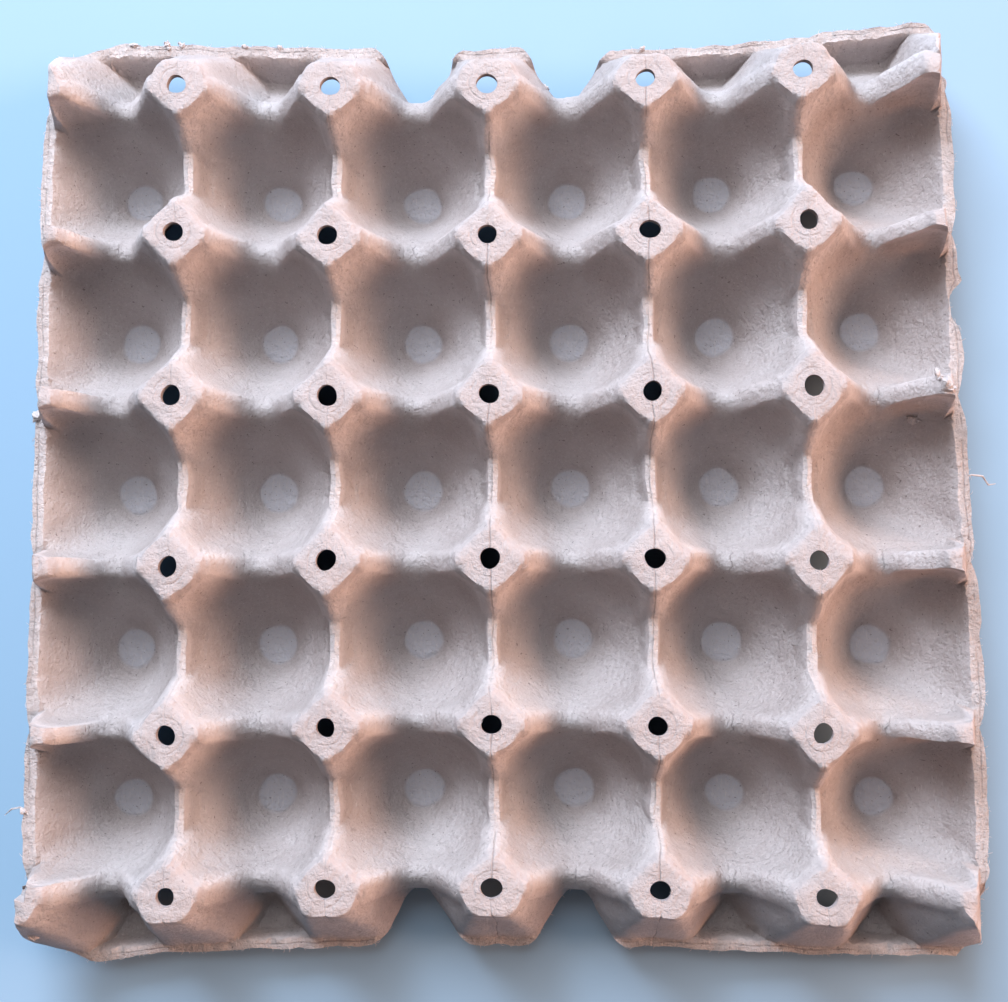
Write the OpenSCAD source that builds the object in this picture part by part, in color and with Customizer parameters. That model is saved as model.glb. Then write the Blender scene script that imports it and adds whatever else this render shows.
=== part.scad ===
// Moulded pulp egg tray: a sheet of round cells held between hollow posts, with a flat rim.

/* [Grid] */
// Cells across the tray
columns = 6; // [4:2:8]
// Cells from front to back
rows = 5; // [3:1:6]
// Distance between cell centres across the tray
column_pitch = 47.5; // [46.5:0.5:52]
// Distance between cell centres from front to back
row_pitch = 48.5; // [47.5:0.5:53]
// Thickness of the pulp sheet
wall = 2.2; // [2:0.1:2.6]

/* [Cells] */
// Radius of the flat floor disc in each cell
floor_r = 6.2; // [5:0.1:7.5]
// Thickness of the floor disc
floor_t = 2.6; // [2.2:0.1:3.2]
// Half of the angle through which the bowl turns from floor to deck
bowl_turn = 18; // [12:1:22]
// Flat steps that make up the bowl's curve
bowl_steps = 5; // [4:1:8]
// Radius of a cell's mouth at the level of the post tops
mouth_r = 25.6; // [24.8:0.1:26.2]

/* [Levels] */
// Height of the lips at the front and back
lip_z = 13; // [11:0.5:16]
// Height of the deck, which is the side rims and the low point of each saddle
deck_z = 28; // [26:0.5:30]
// Height of the ridges that run from front to back
ridge_z = 34; // [32:0.5:36]
// Height of the post tops
post_top = 48.6; // [46:0.2:52]

/* [Ridges] */
// Width of a ridge at its narrowest
ridge_w = 2.9; // [2.4:0.1:3.4]
// Length of the level stretch on a ridge
ridge_level = 14; // [10:0.5:18]
// Width of a saddle at its narrowest
saddle_w = 6.3; // [5.8:0.1:7.5]
// Length of the level stretch on a saddle
saddle_level = 8; // [6:0.5:12]

/* [Posts] */
// Half of a post top's diagonal
post_reach = 9.2; // [8:0.1:10]
// Width of the blunt corners of a post
corner_w = 3.6; // [2.4:0.1:4.4]
// How far a blunt corner bulges
corner_bulge = 0.6; // [0.3:0.1:0.9]
// Thickness of a post's cap
cap_t = 2.6; // [2:0.1:3.4]
// Diameter of the hole in a post's cap
hole_d = 6; // [4:0.2:7]

/* [Rim] */
// Distance from the outer cell centres to the side edges
rim_side = 25.4; // [24.4:0.2:27]
// Distance from the outer post rows to the front and back edges
rim_end = 24.75; // [23:0.25:27]
// Width of the lip round the edge
lip_w = 3.2; // [2.6:0.1:4]
// How far an outer post's top would reach outwards without its skirt
skirt_reach = 20.2; // [18:0.2:24]
// How far the skirts lean in at the front and back
skirt_run_end = 14.1; // [12:0.2:16]
// How far the skirts lean in at the sides
skirt_run_side = 5.6; // [4:0.2:7]
// Distance from the outer cell centres to the middle of the half posts
half_post_side = 21.65; // [20.5:0.1:23]
// Half width of a half post's top along the edge
half_post_w = 5.6; // [4.5:0.1:6.5]
// How much wider a half post is on each side at the deck
half_post_flare = 1.8; // [1:0.1:2.6]
// Depth of the scallop in the side edges at each half post
scallop = 1.6; // [0.8:0.1:2.4]
// Size of the cut across each sound corner
corner_cut = 5; // [3:0.5:8]

/* [End pockets] */
// Half width of a pocket along the lip
pocket_half_w = 14; // [12:0.5:15]
// How far a pocket reaches in from the lip, at the level of the lip
pocket_reach = 12; // [10:0.5:13]
// How much wider a pocket is on each side at the level of the post tops
pocket_flare = 5; // [4:0.5:6]
// Depth of a pocket below the lip
pocket_depth = 3; // [2:0.5:5]

/* [Finger gaps] */
// Width of a gap at the edge
gap_w = 31; // [26:0.5:33]
// How far the gaps reach in from the edge
gap_depth = 18.6; // [16:0.2:19]

/* [Wear] */
// Length of the worn front left corner along the front
worn_run = 20; // [12:1:24]
// Length of the worn front left corner along the side
worn_rise = 6; // [4:0.5:10]
// Distance of the nick in the right edge from the middle
nick_y = 66; // [55:1:75]
// Width of the nick
nick_w = 12; // [6:1:16]
// Depth of the nick
nick_d = 2.6; // [1:0.2:3]

/* [Hidden] */
$fn = 64;
over = 1;
arc_steps = 10;
pocket_steps = 8;
flat = corner_w / 2;
bury = 0.6;
pocket_floor_share = 0.6;
pocket_floor_set = 1.5;
hollow_walls = 1.2;
hollow_clear = 1;
hollow_drop = 3 * wall;
hollow_flare_z = 25;

// Places of the cells and posts
first_cell_x = (columns - 1) / 2 * column_pitch;
first_cell_y = (rows - 1) / 2 * row_pitch;
last_row_y = rows / 2 * row_pitch;
half_post_x = first_cell_x + half_post_side;
edge_x = first_cell_x + rim_side;
edge_y = last_row_y + rim_end;
cell_xs = [for (i = [0 : columns - 1]) -first_cell_x + i * column_pitch];
cell_ys = [for (j = [0 : rows - 1]) -first_cell_y + j * row_pitch];
post_xs = [for (i = [1 : columns - 1]) -first_cell_x + (i - 0.5) * column_pitch];
post_ys = [for (j = [0 : rows]) -last_row_y + j * row_pitch];
gap_xs = [-column_pitch / 2, column_pitch / 2];

// Section of the bowl: an arc from the floor disc up to the deck
deck_r = (row_pitch - saddle_w) / 2;
ridge_r = (column_pitch - ridge_w) / 2;
rise = deck_z - floor_t;
spread = deck_r - floor_r;
chord = sqrt(rise * rise + spread * spread);
chord_angle = atan2(rise, spread);
bowl_r = chord / (2 * sin(bowl_turn));
start_angle = chord_angle - bowl_turn;
bowl_centre = [floor_r - bowl_r * sin(start_angle), floor_t + bowl_r * cos(start_angle)];
function bowl_point(r, i) =
    let (a = start_angle + 2 * bowl_turn * i / bowl_steps)
    bowl_centre + r * [sin(a), -cos(a)];
function bowl_arc(r, last) = [for (i = [0 : last]) bowl_point(r, i)];

// How far a post's corners reach at a given height
spread_x = (column_pitch / 2 - saddle_level / 2 - post_reach) / (post_top - deck_z);
spread_y = (row_pitch / 2 - ridge_level / 2 - post_reach) / (post_top - ridge_z);
hollow_inset = hollow_walls * wall;
half_lean = half_post_flare / (post_top - deck_z);
function reach_x(z) = post_reach + (post_top - z) * spread_x;
function reach_y(z) = post_reach + (post_top - z) * spread_y;
function reach_out(z) = skirt_reach + (post_top - z) * spread_x;
function half_y(z) = half_post_w + (post_top - z) * half_lean;

// A diamond with blunt corners, with its own reach to the back and to the front
function diamond(x, back, front, f, c) = [
    [x - c, -f], [x, 0], [x - c, f],
    [f, back - c], [0, back], [-f, back - c],
    [c - x, f], [-x, 0], [c - x, -f],
    [-f, c - front], [0, -front], [f, c - front]
];
function reach_back(z, side) = side > 0 ? reach_out(z) : reach_y(z);
function post_ring(z, side) =
    diamond(reach_x(z), reach_back(z, side), reach_back(z, -side), flat, corner_bulge);

// A post's hollow, which shrinks where the mouths of the cells round it would cut its walls
post_far = norm([column_pitch, row_pitch]) / 2;
function mouth_at(z) = ridge_r + (mouth_r - ridge_r) * (z - ridge_z) / (post_top - ridge_z);
function hollow_room(z) = post_far - mouth_at(z) - hollow_clear;
function hollow_share(z, x, y) = z < ridge_z ? 1 : min(1, hollow_room(z) * norm([x, y]) / (x * y));
function hollow_ring(z, side) =
    let (x = reach_x(z) - hollow_inset, y = reach_y(z) - hollow_inset)
    let (back = reach_back(z, side) - hollow_inset, front = reach_back(z, -side) - hollow_inset)
    let (share = hollow_share(z, x, y))
    [[share * x, 0], [0, share * back], [-share * x, 0], [0, -share * front]];

// A half post: a blunt point towards the cells and straight sides out to the edge
half_out = rim_side - half_post_side + over;
function half_back(z, side) = side > 0 ? reach_out(z) : half_y(z);
function shoulder(x, h) = min(half_out - over, h - x);
function half_ring(z, side) =
    let (tip = reach_x(z), x = tip - corner_bulge + flat)
    let (back = half_back(z, side), front = half_back(z, -side))
    [
        [-tip, 0], [corner_bulge - tip, -flat], [shoulder(x, front), -front], [half_out, -front],
        [half_out, back], [shoulder(x, back), back], [corner_bulge - tip, flat]
    ];
function half_hollow_ring(z) =
    let (tip = reach_x(z) - hollow_inset, h = half_y(z) - hollow_inset)
    [[-tip, 0], [shoulder(tip, h), -h], [half_out, -h], [half_out, h], [shoulder(tip, h), h]];
function rectangle(x, y) = [[x, -y], [x, y], [-x, y], [-x, -y]];

// Skin through a list of rings, each given as a height and its outline
module loft(rings) {
    n = len(rings[0][1]);
    top = len(rings) - 1;
    points = [for (ring = rings) for (p = ring[1]) [p[0], p[1], ring[0]]];
    lower = [for (k = [0 : top - 1]) for (i = [0 : n - 1]) [k * n + i, (k + 1) * n + i, k * n + (i + 1) % n]];
    upper = [for (k = [0 : top - 1]) for (i = [0 : n - 1])
        [(k + 1) * n + i, (k + 1) * n + (i + 1) % n, k * n + (i + 1) % n]];
    floor_face = [[for (i = [0 : n - 1]) i]];
    top_face = [[for (i = [n - 1 : -1 : 0]) top * n + i]];
    polyhedron(points, concat(floor_face, lower, upper, top_face));
}

// Outside of a cell, from its foot up into the deck
module cell_body() {
    seat = bowl_arc(bowl_r + wall, bowl_steps);
    foot = [[0, 0], [floor_r + floor_t - wall / 2, 0]];
    rim_z = deck_z - wall / 2;
    rim = [[seat[bowl_steps][0], rim_z], [0, rim_z]];
    under = [for (p = seat) if (p[1] < rim_z) p];
    rotate_extrude() polygon(concat(foot, under, rim));
}

// Space inside a cell, opening upwards
module cell_space() {
    side = bowl_arc(bowl_r, bowl_steps);
    mouth = [[ridge_r, ridge_z], [mouth_r, post_top], [mouth_r, post_top + over], [0, post_top + over]];
    rotate_extrude() polygon(concat([[0, floor_t]], side, mouth));
}

// Four-sided taper that the skirts of the outer posts lie on
side_lean = skirt_run_side / (post_top - deck_z);
end_lean = skirt_run_end / (post_top - lip_z);
function taper_ring(z, inset) = rectangle(
    edge_x - lip_w - inset - side_lean * max(0, z - deck_z),
    edge_y - lip_w - inset - end_lean * max(0, z - lip_z)
);
module skirt_taper(inset, low) {
    loft([for (z = [low, lip_z, deck_z, post_top + over]) [z, taper_ring(z, inset)]]);
}

function post_side(y) = abs(y) < last_row_y - over ? 0 : sign(y);

// All places of whole posts
module at_posts() {
    for (x = post_xs)
        for (y = post_ys)
            translate([x, y, 0]) {
                $side = post_side(y);
                children();
            }
}

// All places of half posts, turned to face the cells
module at_half_posts() {
    for (turn = [0, 180])
        rotate([0, 0, turn])
            for (y = post_ys)
                translate([half_post_x, y, 0]) {
                    $side = post_side(y);
                    children();
                }
}

module posts() {
    low = deck_z - wall / 2;
    intersection() {
        union() {
            at_posts()
                loft([[low, post_ring(low, $side)], [post_top, post_ring(post_top, $side)]]);
            at_half_posts()
                loft([[low, half_ring(low, $side)], [post_top, half_ring(post_top, $side)]]);
        }
        skirt_taper(0, low - over);
    }
}

// Hollows under the posts, open at the bottom
module post_hollows() {
    low = deck_z - hollow_drop;
    outer_low = lip_z - hollow_drop;
    high = post_top - cap_t;
    intersection() {
        union() {
            at_posts()
                loft([
                    [$side == 0 ? low : outer_low, hollow_ring($side == 0 ? ridge_z : hollow_flare_z, $side)],
                    [ridge_z, hollow_ring(ridge_z, $side)],
                    [high, hollow_ring(high, $side)]
                ]);
            at_half_posts()
                loft([
                    [low, half_hollow_ring(ridge_z)],
                    [ridge_z, half_hollow_ring(ridge_z)],
                    [high, half_hollow_ring(high)]
                ]);
        }
        skirt_taper(wall, outer_low - over);
    }
}

// Ridges between the cells, running from front to back
module ridges() {
    half_top = ridge_w / 2 + bury;
    half_base = column_pitch / 2 - deck_r + bury;
    low = deck_z - wall / 2;
    for (x = post_xs)
        translate([x, last_row_y, 0])
            rotate([90, 0, 0])
                linear_extrude(2 * last_row_y)
                    polygon([[-half_base, low], [half_base, low], [half_top, ridge_z], [-half_top, ridge_z]]);
}

// Outline of the deck in plan, with scallops at the half posts and a nick in the right edge
deck_y = last_row_y + saddle_w / 2 + wall;
function side_points(side) = [
    for (i = [0 : rows * arc_steps])
        let (y = last_row_y * (2 * i / (rows * arc_steps) - 1))
        let (dip = pow((1 - cos(360 * (y / row_pitch - (rows - 1) / 2))) / 2, 3))
        let (nick = side > 0 ? max(0, 1 - abs(y - nick_y) * 2 / nick_w) : 0)
        [side * (edge_x - scallop * dip - nick_d * nick), y]
];
right_side = side_points(1);
left_side = [for (i = [rows * arc_steps : -1 : 0]) side_points(-1)[i]];
side_x = edge_x - scallop;
outline = concat(
    [[side_x, -deck_y]], right_side, [[side_x, deck_y]],
    [[-side_x, deck_y]], left_side, [[-side_x, -deck_y]]
);
module deck() {
    translate([0, 0, deck_z - wall])
        linear_extrude(wall)
            polygon(outline);
}

// Lips at the front and back, and the ends of the sheet behind them down to the lips
module lip(left_cut, right_cut) {
    translate([0, 0, lip_z - wall])
        linear_extrude(wall)
            polygon([
                [-side_x, -last_row_y], [-side_x, left_cut[1] - edge_y], [left_cut[0] - side_x, -edge_y],
                [side_x - right_cut[0], -edge_y], [side_x, right_cut[1] - edge_y], [side_x, -last_row_y]
            ]);
}
module ends() {
    low = lip_z - wall / 2;
    sound = [corner_cut, corner_cut];
    lip([worn_run, worn_rise], sound);
    rotate([0, 0, 180])
        lip(sound, sound);
    intersection() {
        for (side = [-1, 1])
            translate([-edge_x, side > 0 ? last_row_y : -edge_y, low])
                cube([2 * edge_x, rim_end, deck_z - wall / 2 - low]);
        skirt_taper(0, low - over);
    }
}

// Finger gaps between the middle posts
function gap_points(x) = [
    for (i = [0 : 2 * arc_steps])
        let (u = i / arc_steps - 1)
        [x + u * gap_w / 2, gap_depth * (1 + cos(180 * u)) / 2 - edge_y]
];
module gaps() {
    for (turn = [0, 180])
        rotate([0, 0, turn])
            for (x = gap_xs)
                linear_extrude(post_top + over)
                    polygon(concat(gap_points(x), [[x + gap_w / 2, -edge_y - over], [x - gap_w / 2, -edge_y - over]]));
}

// Half-cell pockets along the front and back edges, open at the lip
function pocket_ring(half_w, reach, far) = [
    for (i = [0 : pocket_steps])
        let (turn = 180 * i / pocket_steps)
        [half_w * cos(turn), reach * sin(turn) - far]
];
lip_inner = rim_end - lip_w;
pocket_low = lip_z - pocket_depth;
pocket_far = rim_end + over;
pocket_rise = (deck_z - lip_z) / (post_top - lip_z);
floor_half_w = pocket_half_w * pocket_floor_share;
floor_reach = pocket_reach * pocket_floor_share;
floor_far = lip_inner - pocket_floor_set;
module at_pockets() {
    for (turn = [0, 180])
        rotate([0, 0, turn])
            for (x = cell_xs)
                translate([x, -last_row_y, 0])
                    children();
}
module pocket_body() {
    loft([
        [pocket_low - wall, pocket_ring(floor_half_w + wall, floor_reach + 1.5 * wall, floor_far + wall / 2)],
        [lip_z - bury, pocket_ring(pocket_half_w + wall, pocket_reach + 1.5 * wall, lip_inner + wall / 2)]
    ]);
}
module pocket_space() {
    loft([
        [pocket_low, pocket_ring(floor_half_w, floor_reach, floor_far)],
        [lip_z, pocket_ring(pocket_half_w, pocket_reach, lip_inner)],
        [deck_z, pocket_ring(pocket_half_w + pocket_flare * pocket_rise, pocket_far - saddle_w / 2, pocket_far)],
        [post_top + over, pocket_ring(pocket_half_w + pocket_flare, pocket_far - saddle_w / 2, pocket_far)]
    ]);
}

// Channel under the outermost saddles, between the cells and the pockets
channel_half_l = cell_xs[columns - 1] + floor_half_w;
module channels() {
    low = lip_z - hollow_drop;
    foot = lip_inner - pocket_reach - wall;
    for (turn = [0, 180])
        rotate([0, 0, turn])
            translate([-channel_half_l, -last_row_y, 0])
                rotate([90, 0, 90])
                    linear_extrude(2 * channel_half_l)
                        polygon([[bury, low], [bury, deck_z - 2 * wall], [-foot, lip_z - wall / 2], [-foot, low]]);
}

module at_cells() {
    for (x = cell_xs)
        for (y = cell_ys)
            translate([x, y, 0])
                children();
}

module tray() {
    color("rosybrown")
        difference() {
            union() {
                deck();
                ends();
                ridges();
                posts();
                at_cells() cell_body();
                at_pockets() pocket_body();
            }
            at_cells() cell_space();
            at_pockets() pocket_space();
            gaps();
            channels();
            post_hollows();
            for (x = post_xs)
                for (y = post_ys)
                    translate([x, y, post_top - 2 * cap_t])
                        cylinder(d = hole_d, h = 2 * cap_t + over);
        }
}

tray();
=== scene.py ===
"""Dressed look of the moulded pulp egg tray: a fine sheet with worn edges, fibres and a pulp material."""

import math

import bpy
import numpy as np
from mathutils import Matrix, Vector
from mathutils.geometry import delaunay_2d_cdt


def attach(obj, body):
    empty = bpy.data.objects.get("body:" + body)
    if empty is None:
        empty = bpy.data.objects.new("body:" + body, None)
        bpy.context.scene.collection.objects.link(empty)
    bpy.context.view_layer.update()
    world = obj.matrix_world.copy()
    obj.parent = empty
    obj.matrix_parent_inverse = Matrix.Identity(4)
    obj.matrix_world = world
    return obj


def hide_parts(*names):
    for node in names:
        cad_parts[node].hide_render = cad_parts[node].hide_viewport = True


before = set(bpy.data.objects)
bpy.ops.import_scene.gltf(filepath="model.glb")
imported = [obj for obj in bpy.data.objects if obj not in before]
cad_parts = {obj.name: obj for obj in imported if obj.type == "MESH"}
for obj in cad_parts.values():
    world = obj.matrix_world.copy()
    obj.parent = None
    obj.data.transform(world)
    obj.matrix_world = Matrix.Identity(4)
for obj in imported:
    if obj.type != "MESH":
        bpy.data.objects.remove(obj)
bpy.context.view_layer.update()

# Sizes of the tray in millimetres, mostly as in the part's source
MM = 0.001
COLUMNS, ROWS = 6, 5
PITCH_X, PITCH_Y = 47.5, 48.5
HALF_X, HALF_Y = PITCH_X / 2, PITCH_Y / 2
WALL = 2.2
FLOOR_R, FLOOR_T = 6.2, 2.6
BOWL_TURN = math.radians(9)
DECK_Z, RIDGE_Z, POST_TOP = 28.0, 34.0, 48.6
DECK_DIP, SIDE_DIP = 5.5, 1.2
DECK_R, RIDGE_R, MOUTH_R = 21.1, 22.3, 25.6
RIDGE_W, RIDGE_LEVEL, SADDLE_LEVEL = 2.9, 14.0, 8.0
POST_REACH, POST_FLAT = 9.7, 7.85
HOLE_R = 3.0
RIM_SIDE, RIM_END, LIP_W = 25.4, 24.75, 3.2
HALF_POST_SIDE, HALF_POST_W, CORNER_POST_W, PLUMP_CORNER = 21.65, 3.4, 5.0, 3.0
ARM_W, ARM_ROUND, SIDE_STEEP, BENT_CORNER = 5.2, 0.17, 40.0, 1.7
EDGE_CRISP, EDGE_SOFT = 1.3, 4.2
SKIRT_REACH = 20.2
SKIRT_RUN_SIDE = 5.6
GAP_W, GAP_DEPTH = 31.0, 18.6
CELL_X = (COLUMNS - 1) / 2 * PITCH_X
ROW_Y = ROWS / 2 * PITCH_Y
HALF_POST_X = CELL_X + HALF_POST_SIDE
EDGE_X, EDGE_Y = CELL_X + RIM_SIDE, ROW_Y + RIM_END
FALL_X = (HALF_X - SADDLE_LEVEL / 2 - POST_REACH) / (POST_TOP - DECK_Z)
FALL_Y = (HALF_Y - RIDGE_LEVEL / 2 - POST_REACH) / (POST_TOP - RIDGE_Z)
FALL_D = (FALL_X + FALL_Y) / 2 / math.sqrt(2)

# Lips and pockets at the front and back: heights, lean of the skirts, where the pocket floor is reached
FRONT = {"lip": 11.5, "floor": 4.5, "lean": 0.39, "reach": 13.0, "wall": 2.2}
BACK = {"lip": 17.0, "floor": 6.5, "lean": 0.43, "reach": 16.0, "wall": 4.6}


# Smooth blends of heights
def smooth_min(a, b, k):
    h = np.clip(0.5 + 0.5 * (b - a) / k, 0, 1)
    return b * (1 - h) + a * h - k * h * (1 - h)


def smooth_max(a, b, k):
    return -smooth_min(-a, -b, k)


def smooth_step(low, high, x):
    t = np.clip((x - low) / (high - low), 0, 1)
    return t * t * (3 - 2 * t)


# Section of a cell's bowl: floor disc, arc up to the deck, flare up to the posts
def bowl_section():
    rise, spread = DECK_Z - FLOOR_T, DECK_R - FLOOR_R
    radius = math.hypot(rise, spread) / (2 * math.sin(BOWL_TURN))
    start = math.atan2(rise, spread) - BOWL_TURN
    a = start + 2 * BOWL_TURN * np.linspace(0, 1, 40)
    r = FLOOR_R + radius * (np.sin(a) - math.sin(start))
    z = FLOOR_T + radius * (math.cos(start) - np.cos(a))
    r = np.concatenate([[0], r, [RIDGE_R, MOUTH_R, MOUTH_R + 20]])
    z = np.concatenate([[FLOOR_T], z, [RIDGE_Z, POST_TOP, POST_TOP + 90]])
    return r, z


BOWL_R, BOWL_Z = bowl_section()


def bowl_height(r):
    ring = 0.22 * np.exp(-(((r - FLOOR_R - 0.25) / 0.5) ** 2))
    return np.interp(r, BOWL_R, BOWL_Z) - ring


# How much further a side cell reaches towards its straight outer wall
def side_stretch(u, v):
    half_a, half_b, c = RIM_SIDE - 3.6, DECK_R, 9.0
    r = np.hypot(u, v) + 1e-9
    du, dv = u / r, np.abs(v) / r
    along = du * (half_a - c) + dv * (half_b - c)
    gap = along**2 - (half_a - c) ** 2 - (half_b - c) ** 2 + c * c
    reach = along + np.sqrt(np.maximum(gap, 0))
    flat_side = half_a * dv <= (half_b - c) * du
    flat_end = half_b * du <= (half_a - c) * dv
    reach = np.where(flat_side, half_a / np.maximum(du, 1e-6), reach)
    reach = np.where(flat_end, half_b / np.maximum(dv, 1e-6), reach)
    share = smooth_step(FLOOR_R, DECK_R, r)
    return 1 + (reach / DECK_R - 1) * share


def flank_fall(dx, q):
    b = POST_REACH + SKIRT_REACH - dx - q
    c = POST_REACH * SKIRT_REACH - dx * SKIRT_REACH - q * POST_REACH
    return (-b + np.sqrt(np.maximum(b * b - 4 * c, 0))) / 2 / FALL_X


def cell_plan(x, y):
    """Place in the nearest cell, from its centre."""
    column = np.clip(np.floor(x / PITCH_X + COLUMNS / 2), 0, COLUMNS - 1)
    row = np.clip(np.floor(y / PITCH_Y + ROWS / 2), 0, ROWS - 1)
    return x - (column - (COLUMNS - 1) / 2) * PITCH_X, y - (row - (ROWS - 1) / 2) * PITCH_Y


# Height of the sheet's upper face anywhere in plan: the roof of posts and ridges, cut by the bowls
def sheet_parts(x, y):
    u, v = cell_plan(x, y)
    ax, ay = np.abs(x), np.abs(y)
    side = ax > CELL_X
    q = ay - ROW_Y
    end = q > 0

    # Bowls
    r = np.hypot(u, v)
    r = np.where(side, r / side_stretch(ax - CELL_X, v), r)
    bowl = bowl_height(r)
    steep = np.where(r > DECK_R, DECK_Z + SIDE_STEEP * (r - DECK_R), bowl)
    bowl = np.maximum(bowl, bowl + (steep - bowl) * smooth_step(3, 12, ax - CELL_X))

    # Posts, half posts, ridges and deck
    post_x = np.clip(np.round(x / PITCH_X), -2, 2) * PITCH_X
    dx = np.abs(x - post_x)
    post_row = np.clip(np.round(y / PITCH_Y - 0.5), -3, 2) + 0.5
    dy = np.abs(y - post_row * PITCH_Y)
    dx = np.where(side, np.maximum(HALF_POST_X - ax, 0), dx)
    slant = ((dx + dy) / math.sqrt(2) - POST_FLAT) / FALL_D
    fall = smooth_max((dx - POST_REACH) / FALL_X, (dy - POST_REACH) / FALL_Y, 1.0)
    fall = smooth_max(fall, slant, 7.0)
    half_w = np.where(np.abs(post_row) > ROWS / 2 - 0.5, CORNER_POST_W, HALF_POST_W)
    half_fall = smooth_max((dx - POST_REACH) / FALL_X, (dy - half_w) / 0.12, 2.0)
    half_fall = smooth_max(half_fall, slant, 4.0)
    plump = np.where(x < 0, smooth_step(ROW_Y - 9, ROW_Y - 3, -y), 0)
    skirt_x = EDGE_X - LIP_W - SKIRT_RUN_SIDE + PLUMP_CORNER * plump
    side_fall = (ax - skirt_x) / (SKIRT_RUN_SIDE / (POST_TOP - DECK_Z))
    half_fall = smooth_max(half_fall, side_fall, 2.0)

    # Outer flanks and skirts of the front and back posts
    front = y < 0
    lip, floor, lean, reach, wall = (np.where(front, FRONT[k], BACK[k]) for k in FRONT)
    qq = np.maximum(q, 0)
    narrow = np.where(side & (x > 0) & (y > 0), BENT_CORNER, 1)
    end_fall = smooth_max(flank_fall(dx * narrow, qq), (q - POST_FLAT) / lean, 7.0)
    end_fall = np.where(side, smooth_max(end_fall, side_fall, 2.0), end_fall)
    fall = np.where(end, end_fall, np.where(side, half_fall, fall))
    post = POST_TOP - smooth_max(fall, np.zeros_like(fall), 0.7)

    # Ridges from front to back, and arms that dip into the saddles from side to side
    flat = np.zeros_like(dx)
    ridge_top = smooth_max(POST_TOP - np.maximum(dy - POST_REACH, 0) / FALL_Y, flat + RIDGE_Z, 1.5)
    ridge = ridge_top - 0.25 * np.minimum(dx, RIDGE_W / 2) ** 2 - 5 * np.maximum(dx - RIDGE_W / 2, 0)
    ridge = np.where(side | end, 0, ridge)
    arm_top = smooth_max(POST_TOP - np.maximum(dx - POST_REACH, 0) / FALL_X, flat + DECK_Z - 0.8, 5.0)
    arm_top = np.where(side, smooth_min(arm_top, POST_TOP - side_fall, 1.5), arm_top)
    arm = arm_top - ARM_ROUND * np.minimum(dy, ARM_W) ** 2 - 5 * np.maximum(dy - ARM_W, 0)

    # Deck, and valleys of the pockets down to the lips
    base = DECK_Z - DECK_DIP + (DECK_DIP - SIDE_DIP) * smooth_step(0, 10, ax - CELL_X)
    deck = np.where(side & (ax > EDGE_X - LIP_W - 1), DECK_Z, base)
    valley = base - (base - floor) * smooth_step(0.5, reach, q)
    valley = np.maximum(valley, lip - (lip - floor) * smooth_step(0, wall, RIM_END - LIP_W - q))
    roof = smooth_max(smooth_max(post, ridge, 0.8), arm, 0.8)
    roof = smooth_max(roof, np.where(end, valley, deck), 1.0)
    return roof, bowl, end


def top_height(x, y):
    roof, bowl, end = sheet_parts(x, y)
    u, v = cell_plan(x, y)
    soft = smooth_step(0.3, 0.8, -v / (np.hypot(u, v) + 1e-9))
    return np.where(end, roof, smooth_min(roof, bowl, EDGE_CRISP + EDGE_SOFT * soft))


# Outline of the front and back edges, with the finger gaps
def end_edge(x, column):
    if column not in (2, 3):
        return RIM_END
    centre = -HALF_X if column == 2 else HALF_X
    share = np.clip((x - centre) / (GAP_W / 2), -1, 1)
    return RIM_END - GAP_DEPTH * (1 + math.cos(math.pi * share)) / 2


# Points along the shared borders of the repeated units
ARC_STEPS = 6
ARC = [(HOLE_R * math.sin(math.pi / 2 * i / ARC_STEPS), HOLE_R * math.cos(math.pi / 2 * i / ARC_STEPS))
       for i in range(ARC_STEPS + 1)]


def border(length, step):
    count = max(2, int(round(length / step)))
    return [length * i / count for i in range(count + 1)]


BORDER_X = border(HALF_X - HOLE_R, 1.15)
BORDER_Y = border(HALF_Y - HOLE_R, 1.15)
BORDER_OUT = border(RIM_SIDE, 1.15)


def mirrored(values):
    return [-v for v in reversed(values)] + values[1:]


def corner_arc(cx, cy, sx, sy):
    """Quarter of a hole's edge round the corner, from the x side to the y side."""
    return [(cx - sx * p[1], cy - sy * p[0]) for p in ARC]


def cell_loop():
    """Border of a whole cell, anticlockwise from the lower left hole."""
    xs, ys = mirrored(BORDER_X), mirrored(BORDER_Y)
    loop = [(x, -HALF_Y) for x in xs]
    loop += corner_arc(HALF_X, -HALF_Y, 1, -1)[1:-1]
    loop += [(HALF_X, y) for y in ys]
    loop += corner_arc(HALF_X, HALF_Y, 1, 1)[::-1][1:-1]
    loop += [(x, HALF_Y) for x in reversed(xs)]
    loop += corner_arc(-HALF_X, HALF_Y, -1, 1)[1:-1]
    loop += [(-HALF_X, y) for y in reversed(ys)]
    loop += corner_arc(-HALF_X, -HALF_Y, -1, -1)[::-1][1:-1]
    return loop


def side_loop():
    """Border of a side cell with its outer edge towards +X."""
    ys = mirrored(BORDER_Y)
    xs = [-x for x in reversed(BORDER_X)] + BORDER_OUT[1:]
    edge = mirrored(border(HALF_Y, 1.15))
    dip = [RIM_SIDE - 1.6 * abs(y / HALF_Y) ** 6 for y in edge]
    loop = [(x, -HALF_Y) for x in xs[:-1]]
    loop += list(zip(dip, edge))
    loop += [(x, HALF_Y) for x in reversed(xs[:-1])]
    loop += corner_arc(-HALF_X, HALF_Y, -1, 1)[1:-1]
    loop += [(-HALF_X, y) for y in reversed(ys)]
    loop += corner_arc(-HALF_X, -HALF_Y, -1, -1)[::-1][1:-1]
    return loop


BORDER_Q = [HOLE_R + q for q in border(RIM_END - HOLE_R, 1.1)]


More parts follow.
